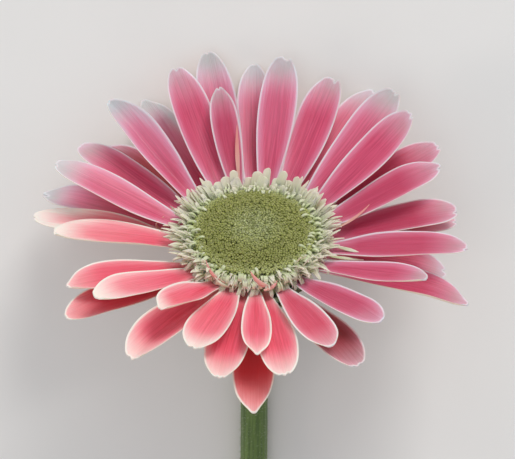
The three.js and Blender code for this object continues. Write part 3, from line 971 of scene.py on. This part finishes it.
def side_tongues(chance, count=170):
    """Narrow pointed tongues, on the two sides of the head only."""
    direction = math.pi * (np.arange(count) % 2) + chance.uniform(-0.9, 0.9, count)
    foot = (disc_radius + chance.uniform(-0.9, 1.4, count) * MM, chance.uniform(0.8, 3.2, count) * MM)
    start_lean = chance.uniform(0.30, 1.0, count)
    end_lean = start_lean + chance.uniform(0.2, 0.9, count)
    length = chance.uniform(4.2, 7.6, count) * MM
    spine = growing_out(direction, foot, start_lean, end_lean, length, chance, 14, 0.0)
    return tongues_along(spine, chance.uniform(0.65, 1.25, count) * MM, np.full(count, 0.5), chance, 5)


def second_tongues(chance, count=120):
    direction = ring_of(count, chance, 0.6)
    top = facing_table(direction)
    foot = (disc_radius + chance.uniform(-1.0, 0.4, count) * MM, chance.uniform(2.0, 3.4, count) * MM)
    start_lean = mix(0.6, 0.1, top) + chance.normal(0, 0.25, count)
    end_lean = mix(1.9, 1.0, top) + chance.normal(0, 0.6, count)
    length = mix(4.6, 3.6, top) * chance.uniform(0.5, 1.2, count) * MM
    spine = growing_out(direction, foot, start_lean, end_lean, length, chance, 16, 0.2 * MM)
    width = mix(0.9, 1.1, top) * chance.uniform(0.6, 1.4, count) * MM
    return tongues_along(spine, width, mix(0.6, 0.1, top), chance, thickness=(0.40, 0.20))


def hooked_tongues(chance, count=240):
    direction = ring_of(count, chance, 0.6)
    top = facing_table(direction)
    bottom = facing_table(-direction)
    radius = disc_radius + (chance.uniform(-1.4, 0.9, count) + 0.9 * bottom) * MM
    outside = chance.uniform(2.2, 3.6, count) * MM
    height = np.where(radius < disc_radius - 0.4 * MM, dome(radius) - 0.2 * MM, outside)
    inwards = np.where(chance.uniform(0, 1, count) < 0.35, -0.8, 1.0)
    start_lean = chance.uniform(-0.5, 0.6, count)
    end_lean = mix(5.2, 3.8, top) * chance.uniform(0.7, 1.1, count) * inwards
    length = (mix(4.2, 2.8, top) + 0.3 * bottom) * chance.uniform(0.6, 1.15, count) * MM
    spine = growing_out(direction, (radius, height), start_lean, end_lean, length, chance, 16, 0.4 * MM)
    width = (mix(0.64, 0.56, top) + 0.4 * bottom) * chance.uniform(0.7, 1.25, count) * MM
    return tongues_along(spine, width, chance.uniform(0.0, 0.2, count), chance, 5, (0.52, 0.36))


def cream_strands(chance, count=320):
    direction = chance.uniform(0, 2 * math.pi, count)
    foot = (disc_radius + chance.uniform(-1.2, 1.2, count) * MM, chance.uniform(1.6, 3.4, count) * MM)
    start_lean = chance.uniform(0.0, 0.9, count)
    end_lean = chance.uniform(1.2, 4.2, count)
    length = chance.uniform(2.2, 5.2, count) * MM
    spine = growing_out(direction, foot, start_lean, end_lean, length, chance, 14, 0.4 * MM)
    return tongues_along(spine, chance.uniform(0.25, 0.5, count) * MM, np.full(count, 0.8), chance, 4)


for name, finish, passes, replaced in (
        ("cream_tongues_outer", TONGUE, outer_tongues(np.random.default_rng(21)), ["trans_florets_outer"]),
        ("cream_tongues_side", TONGUE, side_tongues(np.random.default_rng(27)), []),
        ("cream_tongues_second", TONGUE, second_tongues(np.random.default_rng(22)), ["trans_florets_inner"]),
        ("cream_hooks", GREEN_TONGUE, hooked_tongues(np.random.default_rng(24)), []),
        ("cream_strands", TONGUE, cream_strands(np.random.default_rng(23)), [])):
    piece = skin(name, *passes, [finish])
    settle(piece, "cream_florets", *replaced)
    print(name, "is", round(max(piece.dimensions) / MM), "mm across")

# %% [markdown]
# A few florets have a long tongue or a long strand of the rays' own pink. There are only a
# handful, so each is listed one by one: the direction in degrees, radius and height in millimetres
# of its foot and of its tip, how far its middle bows out, and its width.

# %% Long tongues and pink strands
LONG_TONGUES = (
    ((155, 20.0, 1.0), (147, 30.0, 0.2), 0.3, 2.3),
    ((341, 20.5, 2.0), (346, 29.0, 1.0), 0.4, 1.3),
    ((352, 20.5, 2.0), (349, 27.5, 2.0), 0.6, 1.1),
    ((256, 18.5, 2.0), (240, 20.0, 5.0), 1.0, 1.0),
    ((30, 19.5, 2.0), (33, 26.5, 3.0), 0.4, 1.5),
)
PINK_STRANDS = (
    ((101, 20.5, 2.5), (98, 32.5, 13.0), 0.6, 1.15),
    ((9, 21.0, 2.0), (15, 31.0, 6.5), 0.8, 0.9),
    ((254, 18.8, 2.5), (227, 18.0, 7.0), 1.2, 0.9),
    ((283, 19.4, 3.0), (267, 17.0, 6.5), 1.2, 1.4),
    ((277, 20.5, 3.2), (289, 18.4, 3.8), 0.4, 1.2),
    ((168, 23.5, -0.5), (163, 24.5, 3.0), 2.4, 0.8),
)


def hand_placed(table, chance, rows=16):
    level = np.linspace(0, 1, rows)
    spines = []
    for foot, tip, bow, _ in table:
        turn, radius, height = (mix(a, b, level) for a, b in zip(foot, tip))
        arch = np.sin(level * math.pi) * bow
        spines.append(in_head((radius + arch) * MM, np.radians(turn), (height - arch * 0.3) * MM))
    widths = np.array([row[-1] for row in table]) * MM
    return tongues_along(np.stack(spines), widths, np.full(len(table), 0.9), chance)


for name, table, finish, seed in (("long_tongues", LONG_TONGUES, TONGUE, 26),
                                  ("pink_strands", PINK_STRANDS, STRAND, 25)):
    piece = skin(name, *hand_placed(table, np.random.default_rng(seed)), [finish])
    settle(piece, "cream_florets")
    print(name, "has", len(table))

# %% [markdown]
# ## The green parts behind the head
# The receptacle is a smooth pale-green cup that carries every floret. Bracts overlap like tiles
# round it in three rows. Two rows have toothed cups for solids, and the third fills the space
# under the rays. Each bract is a narrow pointed leaf with a midrib, a reddish tip and a fringe of
# hairs. The stem has shallow ribs and is covered in short pale hairs.

# %% Green finishes
def green_finish(name, dark, light, far, count_per_mm):
    """A green that changes from dark streaks to light ones, and to far at the piece's far end."""
    material, tree, shader = new_finish(name, 0.6, (0.12, 0.5, (0.8, 1.0, 0.4)), Sheen_Weight=0.25)
    along, from_middle = along_and_across(tree)
    veins = placed(tree, VEINS, {"Count per mm": count_per_mm, "Length": 14.0})
    cells = placed(tree, CELLS, {"Size mm": 3.0})
    green = blended(tree, veins["Streaks"], dark, light)
    mottled = blended(tree, times(tree, cells["Patches"], 0.4), green, light)
    ending = blended(tree, stepped(tree, along, 0.6, 1.0, 0.0, 0.75), mottled, far)
    tree.links.new(ending, shader.inputs["Base Color"])
    tree.links.new(stepped(tree, cells["Specks"], 0.0, 1.0, 0.58, 0.72), shader.inputs["Roughness"])
    bumped(tree, shader, veins["Ridges"], 0.06)
    return material


def down_finish():
    material, tree, shader = new_finish("down", 0.5)
    along, _ = along_and_across(tree)
    tree.links.new(blended(tree, along, colour(0.30, 0.36, 0.18), colour(0.70, 0.74, 0.60)),
                   shader.inputs["Base Color"])
    return material


BRACT = green_finish("bract_green", colour(0.050, 0.095, 0.020), colour(0.13, 0.22, 0.055),
                     colour(0.16, 0.085, 0.045), 1.6)
STEM = green_finish("stem_green", colour(0.060, 0.115, 0.024), colour(0.13, 0.215, 0.05),
                    colour(0.19, 0.26, 0.085), 1.2)
FLESH = green_finish("receptacle_flesh", colour(0.20, 0.27, 0.09), colour(0.30, 0.37, 0.15),
                     colour(0.42, 0.45, 0.24), 1.0)
DOWN = down_finish()
print("green finishes:", BRACT.name, STEM.name, FLESH.name, DOWN.name)

# %% Skin on the tubes
tube_level = np.linspace(0, 1, tubes.shape[1])[:, None]
tube_across = 0.5 + 0.5 * np.cos(np.arange(TUBE_SIDES) / TUBE_SIDES * 2 * math.pi)
ray_tubes = skin("ray_tubes", tubes, {
    "shape": paired(tube_level, tube_across),
    "place": paired(tube_level * 5 + 9 * np.arange(len(rays))[:, None, None], tube_across * 3)}, [TONGUE])
settle(ray_tubes, "ray_florets")
print("a tube at the foot of each of", len(rays), "rays")

# %% [markdown]
# The receptacle's solid already has the right outline. Its corners lie in rings, so the widest
# corner at each height gives its wall. A smooth curve through the wall is turned about the head's
# axis, with faint swellings that keep it from looking lathed.

# %% The receptacle
RECEPTACLE_SIDES = 96
SWELLINGS = 24


def grow_receptacle():
    radius, _, height = head_coordinates(corners("receptacle"))
    levels = np.unique(np.round(height / MM, 1))
    wall = np.array([(radius[abs(height / MM - level) < 0.1].max(), level * MM) for level in levels])
    knots = np.concatenate([[0], np.cumsum(np.linalg.norm(np.diff(wall, axis=0), axis=1))])
    s = np.linspace(0, 1, 40)
    smooth = through(wall, knots / knots[-1], s)
    direction = -round_turn(RECEPTACLE_SIDES)
    bumps = 1 + 0.008 * np.cos(SWELLINGS * direction)[None] * np.sin(s * math.pi)[:, None]
    rings = in_head(smooth[:, :1] * bumps, direction[None], smooth[:, 1:])
    fold = there_and_back(RECEPTACLE_SIDES)
    return rings[None], {"shape": paired(s[:, None], fold),
                         "place": paired(s[:, None] * knots[-1] / MM, fold * math.pi * smooth[:, :1] / MM)}


receptacle = skin("receptacle_skin", *grow_receptacle(), [FLESH])
settle(receptacle, "bracts", "receptacle")
print("the receptacle is", round(max(receptacle.dimensions) / MM), "mm across")

# %% [markdown]
# Bracts could be copies of one leaf, but each row hugs a cup of another size. So a bract climbs
# the outline of its own cup and is wrapped round it, and its height, width and direction are its
# own too. The outlines of the two cups are read off their solids.

# %% Growing bracts
# radius and height over the hub of the space that the cups leave under the rays
UNDER_THE_RAYS = (np.array([10.4, 12.0, 13.3, 14.1, 14.9, 15.6]) * MM,
                  np.array([-12.6, -10.2, -8.0, -6.6, -5.6, -5.0]) * MM)
BRACT_ROWS, BRACT_COLUMNS = 18, 9


def cup_profile(node):
    """The outer side of a toothed cup: its radius and height from the stem up to the tips."""
    radius, _, height = head_coordinates(corners(node))
    order = np.argsort(height)
    levels = np.linspace(height.min(), height.max(), 7)
    return np.interp(levels, height[order], np.maximum.accumulate(radius[order])), levels


def grow_bracts(profile, count, offset, width, chance):
    profile_radius, profile_height = profile
    level = np.linspace(0, 1, BRACT_ROWS)
    top = mix(0.80, 1.0, chance.uniform(0, 1, (count, 1)))
    climb = level[None] * top
    walk = np.linspace(0, 1, len(profile_height))
    radius = np.interp(climb, walk, profile_radius) + mix(0.1, 0.4, level[None]) * MM
    height = np.interp(climb, walk, profile_height)
    places = ring_of(count, chance, 0.15)[:, None] + offset
    direction = places + chance.normal(0, 0.03, (count, 1)) * level[None]
    spine = in_head(radius, direction, height)
    along = unit(np.gradient(spine, axis=1))
    outward = in_head(1.0, direction, 0.0) - hub
    around = unit(np.cross(face, outward))
    out = unit(np.cross(around, along))
    t = np.sin(np.linspace(-1, 1, BRACT_COLUMNS) * math.pi / 2)
    outline = mix(0.60, 1.0, ease(0, 0.3, level)) * (1 - ease(0.45, 1.03, level)) ** 0.72
    half = (width / 2 * chance.uniform(0.85, 1.15, (count, 1)) * outline[None])[..., None]
    keel = 0.22 * MM * np.exp(-((t / 0.18) ** 2)) * outline[None, :, None]
    wrap = -half**2 * t**2 / (2 * radius[..., None]) * 1.3
    thick = mix(0.5, 0.16, t**2) * MM
    middle = spine[:, :, None] + around[:, :, None] * (half * t)[..., None]
    over = middle + out[:, :, None] * (wrap + keel + thick / 2)[..., None]
    under = middle + out[:, :, None] * (wrap - thick / 2)[..., None]
    rings = np.concatenate([over, under[:, :, ::-1]], 2)
    across = np.concatenate([t, t[::-1]])
    number = np.arange(count)[:, None, None]
    return rings, {"shape": paired(level[None, :, None], (across + 1) / 2),
                   "place": paired(level[None, :, None] * 16 + 21 * number, half * across / MM)}


bract_rows = []
for name, profile, count, offset, width, seed, replaced in (
        ("bracts_upper", UNDER_THE_RAYS, 34, 0.05, 3.4 * MM, 33, []),
        ("bracts_inner", cup_profile("involucre_inner"), 26, 0.0, 3.9 * MM, 31, ["involucre_inner"]),
        ("bracts_outer", cup_profile("involucre_outer"), 22, 0.15, 3.6 * MM, 32, ["involucre_outer"])):
    row = skin(name, *grow_bracts(profile, count, offset, width, np.random.default_rng(seed)), [BRACT])
    settle(row, "bracts", *replaced)
    bract_rows.append(row)
    print(name, "has", count, "bracts")

# %% [markdown]
# Down could be drawn as a bump, but from the side it stands out against the light. So the hairs
# are real ones. They stand on random faces of a finished skin, more of them where faces are large.

# %% Hairs that grow on a skin
DOWN_HAIRS = 1500  # on each row of bracts
STEM_HAIRS = 4200


def anywhere(centre, normal):
    return True


def hairs_on(name, piece, count, length, thickness, chance, keep=anywhere):
    """Hairs that stand on random faces of a piece, more of them where its faces are large."""
    mesh = piece.data
    centre = np.zeros(len(mesh.polygons) * 3, np.float32)
    normal, area = centre.copy(), np.zeros(len(mesh.polygons), np.float32)
    mesh.polygons.foreach_get("center", centre)
    mesh.polygons.foreach_get("normal", normal)
    mesh.polygons.foreach_get("area", area)
    centre, normal = centre.reshape(-1, 3).astype(float), normal.reshape(-1, 3).astype(float)
    weight = area.astype(float) * keep(centre, normal)
    chosen = chance.choice(len(area), count, p=weight / weight.sum())
    spread = np.sqrt(area[chosen].astype(float))[:, None] * 0.4
    loose = chance.normal(0, 1, (count, 3))
    loose -= normal[chosen] * (loose * normal[chosen]).sum(1)[:, None]
    feet = centre[chosen] + loose * spread - normal[chosen] * 0.05 * MM
    growing = unit(normal[chosen] + chance.normal(0, 0.25, (count, 3)))
    bending = unit(chance.normal(0, 1, (count, 3)))
    lengths = chance.uniform(0.5, 1.0, count) * length
    rings = grow_hairs(feet, growing, bending, lengths, thickness)
    return skin(name, rings, {"shape": paired(HAIR_LEVELS[:, None], 0.5)}, [DOWN])


for piece, seed in zip(bract_rows, (43, 41, 42)):
    down = hairs_on(piece.name + "_down", piece, DOWN_HAIRS, 0.9 * MM, 0.035 * MM,
                    np.random.default_rng(seed))
    settle(down, "bracts")
    print(down.name, "has", DOWN_HAIRS, "hairs")

# %% [markdown]
# ## The stem
# The stem's solid is a row of twelve-sided rings. Walking along it, the next twelve corners are
# always the next ring, so its middle line can be read off ring by ring. The fine stem is a
# smooth curve through those middles with shallow ribs. It ends in a slanting cut, where the skin,
# a ring of fibres and the pale pith show.

# %% Reading and growing the stem
STEM_CORNERS = 12
STEM_ROWS, STEM_COLUMNS = 190, 84
RIBS = 14


def stem_line():
    left = corners("stem")
    heading = -face
    middles, last = [], None
    while len(left):
        order = np.argsort(left @ heading)
        ring, left = left[order[:STEM_CORNERS]], left[order[STEM_CORNERS:]]
        middles.append(ring.mean(0))
        if len(middles) > 1:
            heading = unit(middles[-1] - middles[-2])
        last = ring
    return np.array(middles), last


def grow_stem():
    middles, cut = stem_line()
    # the slanting ring at the cut is wider than the stem, so the middle value counts, not the largest
    radius = np.median(np.linalg.norm(corners("stem")[:, None] - middles[None], axis=2).min(1))
    knots = np.linspace(0, 1, len(middles))
    s = np.linspace(0, 1, STEM_ROWS)
    spine = through(middles, knots, s)
    along = unit(np.gradient(spine, axis=0))
    sideways = unit(np.cross(along, [0, 0, 1.0]))
    over = np.cross(sideways, along)
    turn = round_turn(STEM_COLUMNS)
    ribs = 1 - 0.022 * (0.5 + 0.5 * np.cos(RIBS * turn)) ** 0.7
    round_radius = radius * math.cos(math.pi / STEM_CORNERS) * ribs
    swelling = 1 + 0.10 * ease(0.07, 0.0, s) - 0.03 * ease(0.3, 0.9, s)
    spokes = sideways[:, None] * np.cos(turn)[None, :, None] + over[:, None] * np.sin(turn)[None, :, None]
    rings = spine[:, None] + spokes * (round_radius[None] * swelling[:, None])[..., None]
    slant = np.ptp(cut[:, 1]) / np.ptp(cut[:, 2])
    near_end = ease(0.965, 1.0, s)[:, None]
    rings[..., 1] += near_end * slant * (rings[..., 2] - spine[:, None, 2])
    fold = there_and_back(STEM_COLUMNS)
    length = np.linalg.norm(np.diff(spine, axis=0), axis=1).sum()
    return rings[None], {"shape": paired(s[:, None], fold),
                         "place": paired(s[:, None] * length / MM, fold * math.pi * radius / MM)}


stem_rings, stem_maps = grow_stem()
stem = skin("stem_skin", stem_rings, stem_maps, [STEM])
settle(stem, "stem", "stem")
stem_length = np.linalg.norm(np.diff(stem_rings[0].mean(1), axis=0), axis=1).sum()
print("the stem is", round(stem_length / MM), "mm long")

# %% The stem's hairs
rim = stem_rings[0, -1]
cut_middle = rim.mean(0)
cut_normal = unit(np.cross(rim[0] - cut_middle, rim[len(rim) // 4] - cut_middle))
cut_normal = cut_normal * np.sign(cut_normal[1])


def clear_of_table(centre, normal):
    """Leaves out the faces that rest on the table, and the cut."""
    standing = centre[:, 2] + normal[:, 2] * 1.0 * MM > 0.6 * MM
    return standing & ((centre - cut_middle) @ cut_normal < -0.6 * MM)


stem_down = hairs_on("stem_down", stem, STEM_HAIRS, 0.8 * MM, 0.03 * MM,
                     np.random.default_rng(51), clear_of_table)
settle(stem_down, "stem")
print("and has", STEM_HAIRS, "hairs")

# %% [markdown]
# The cut is a lid on the stem's last ring. A flat lid would look like paper, so its profile rises
# where the tough fibres stand out and sinks towards the soft pith. Its finish goes inwards from
# the dark skin over the fibres to the pale middle.

# %% The cut
def cut_finish():
    material, tree, shader = new_finish("stem_cut_face", 0.55, (0.4, 0.8, (0.9, 1.0, 0.5)))
    inwards, _ = along_and_across(tree)
    fibres, _ = map_values(tree, "edge")
    cells = placed(tree, CELLS, {"Size mm": 1.2})
    layers = ramp(tree, inwards, [(0.0, 0.0), (0.07, 0.05), (0.12, 0.6), (0.30, 0.5), (0.45, 1.0)])
    flesh = blended(tree, layers, colour(0.10, 0.17, 0.035), colour(0.58, 0.62, 0.38))
    near = ramp(tree, inwards, [(0.12, 0.0), (0.22, 0.8), (0.36, 0.0)])
    fibrous = blended(tree, times(tree, near, fibres), flesh, colour(0.20, 0.25, 0.07))
    tree.links.new(blended(tree, times(tree, cells["Patches"], 0.35), fibrous,
                           colour(0.66, 0.68, 0.48)), shader.inputs["Base Color"])
    bumped(tree, shader, cells["Specks"], 0.05)
    return material


CUT_PROFILE = np.array([(0.06, -0.5), (0.975, -0.5), (0.985, 0.02), (0.95, 0.08), (0.88, 0.06),
                        (0.78, 0.10), (0.66, 0.05), (0.50, 0.03), (0.34, 0.02), (0.18, 0.04),
                        (0.05, 0.05)])


def grow_cut():
    """A lid on the stem's last ring. Each step has a share of the ring's size and a height in mm."""
    share, raised = CUT_PROFILE.T
    spread = (rim - cut_middle) * share[:, None, None]
    rings = cut_middle + spread + cut_normal * (raised * MM)[:, None, None]
    turn = -round_turn(len(rim))
    return rings[None], {"shape": paired(1 - share[:, None], 1 - abs(turn / math.pi - 1)),
                         "place": spread[..., [0, 2]][None] / MM,
                         "edge": paired((0.5 - 0.5 * np.cos(RIBS * turn))[None], 0.0)}


cut = skin("stem_cut", *grow_cut(), [cut_finish()])
settle(cut, "stem")
print("the cut is", round(max(cut.dimensions) / MM, 1), "mm across")

# %% [markdown]
# ## The table and the light
# The table is a plain pale sheet. The main light is a large disc high over the face, so that its
# shadows are soft. A weak lamp overhead fills them, a small warm one comes in low from the side
# where the rays are palest, and an even, slightly cool sky lights the rest.

# %% Table and lights
def table_top():
    material, tree, shader = new_finish("table_pale", 0.7)
    cells = placed(tree, CELLS, {"Size mm": 40.0})
    shade = blended(tree, times(tree, cells["Patches"], 0.5),
                    colour(0.82, 0.82, 0.81), colour(0.85, 0.85, 0.84))
    tree.links.new(shade, shader.inputs["Base Color"])
    bpy.ops.mesh.primitive_plane_add(size=6.0, location=(0, 0, 0))
    table = bpy.context.object
    table.name = "table_top"
    table.data.materials.append(material)


def soft_light(name, direction, distance, size, power, tint):
    """A round lamp that shines on the head from a direction."""
    lamp = bpy.data.lights.new(name, "AREA")
    lamp.shape = "DISK"
    lamp.size = size
    lamp.energy = power
    lamp.color = tint
    light = bpy.data.objects.new(name, lamp)
    bpy.context.scene.collection.objects.link(light)
    towards = unit(np.array(direction, float))
    light.location = ray_plane + towards * distance
    light.rotation_mode = "QUATERNION"
    light.rotation_quaternion = Vector(-towards).to_track_quat("-Z", "Y")


table_top()
soft_light("key", (-0.28, -0.80, 0.50), 1.5, 0.7, 11.0, (1.0, 0.96, 0.92))
soft_light("overhead", (0.25, 0.2, 1.0), 1.6, 0.9, 1.6, (1.0, 0.98, 0.96))
soft_light("warm_side", (0.80, 0.30, 0.35), 1.1, 0.35, 1.6, (1.0, 0.84, 0.72))
world = bpy.data.worlds.new("even_sky")
world.use_nodes = True
world.node_tree.nodes["Background"].inputs["Color"].default_value = colour(0.90, 0.92, 0.95)
world.node_tree.nodes["Background"].inputs["Strength"].default_value = 0.58
bpy.context.scene.world = world
bpy.context.scene.view_settings.view_transform = "Standard"
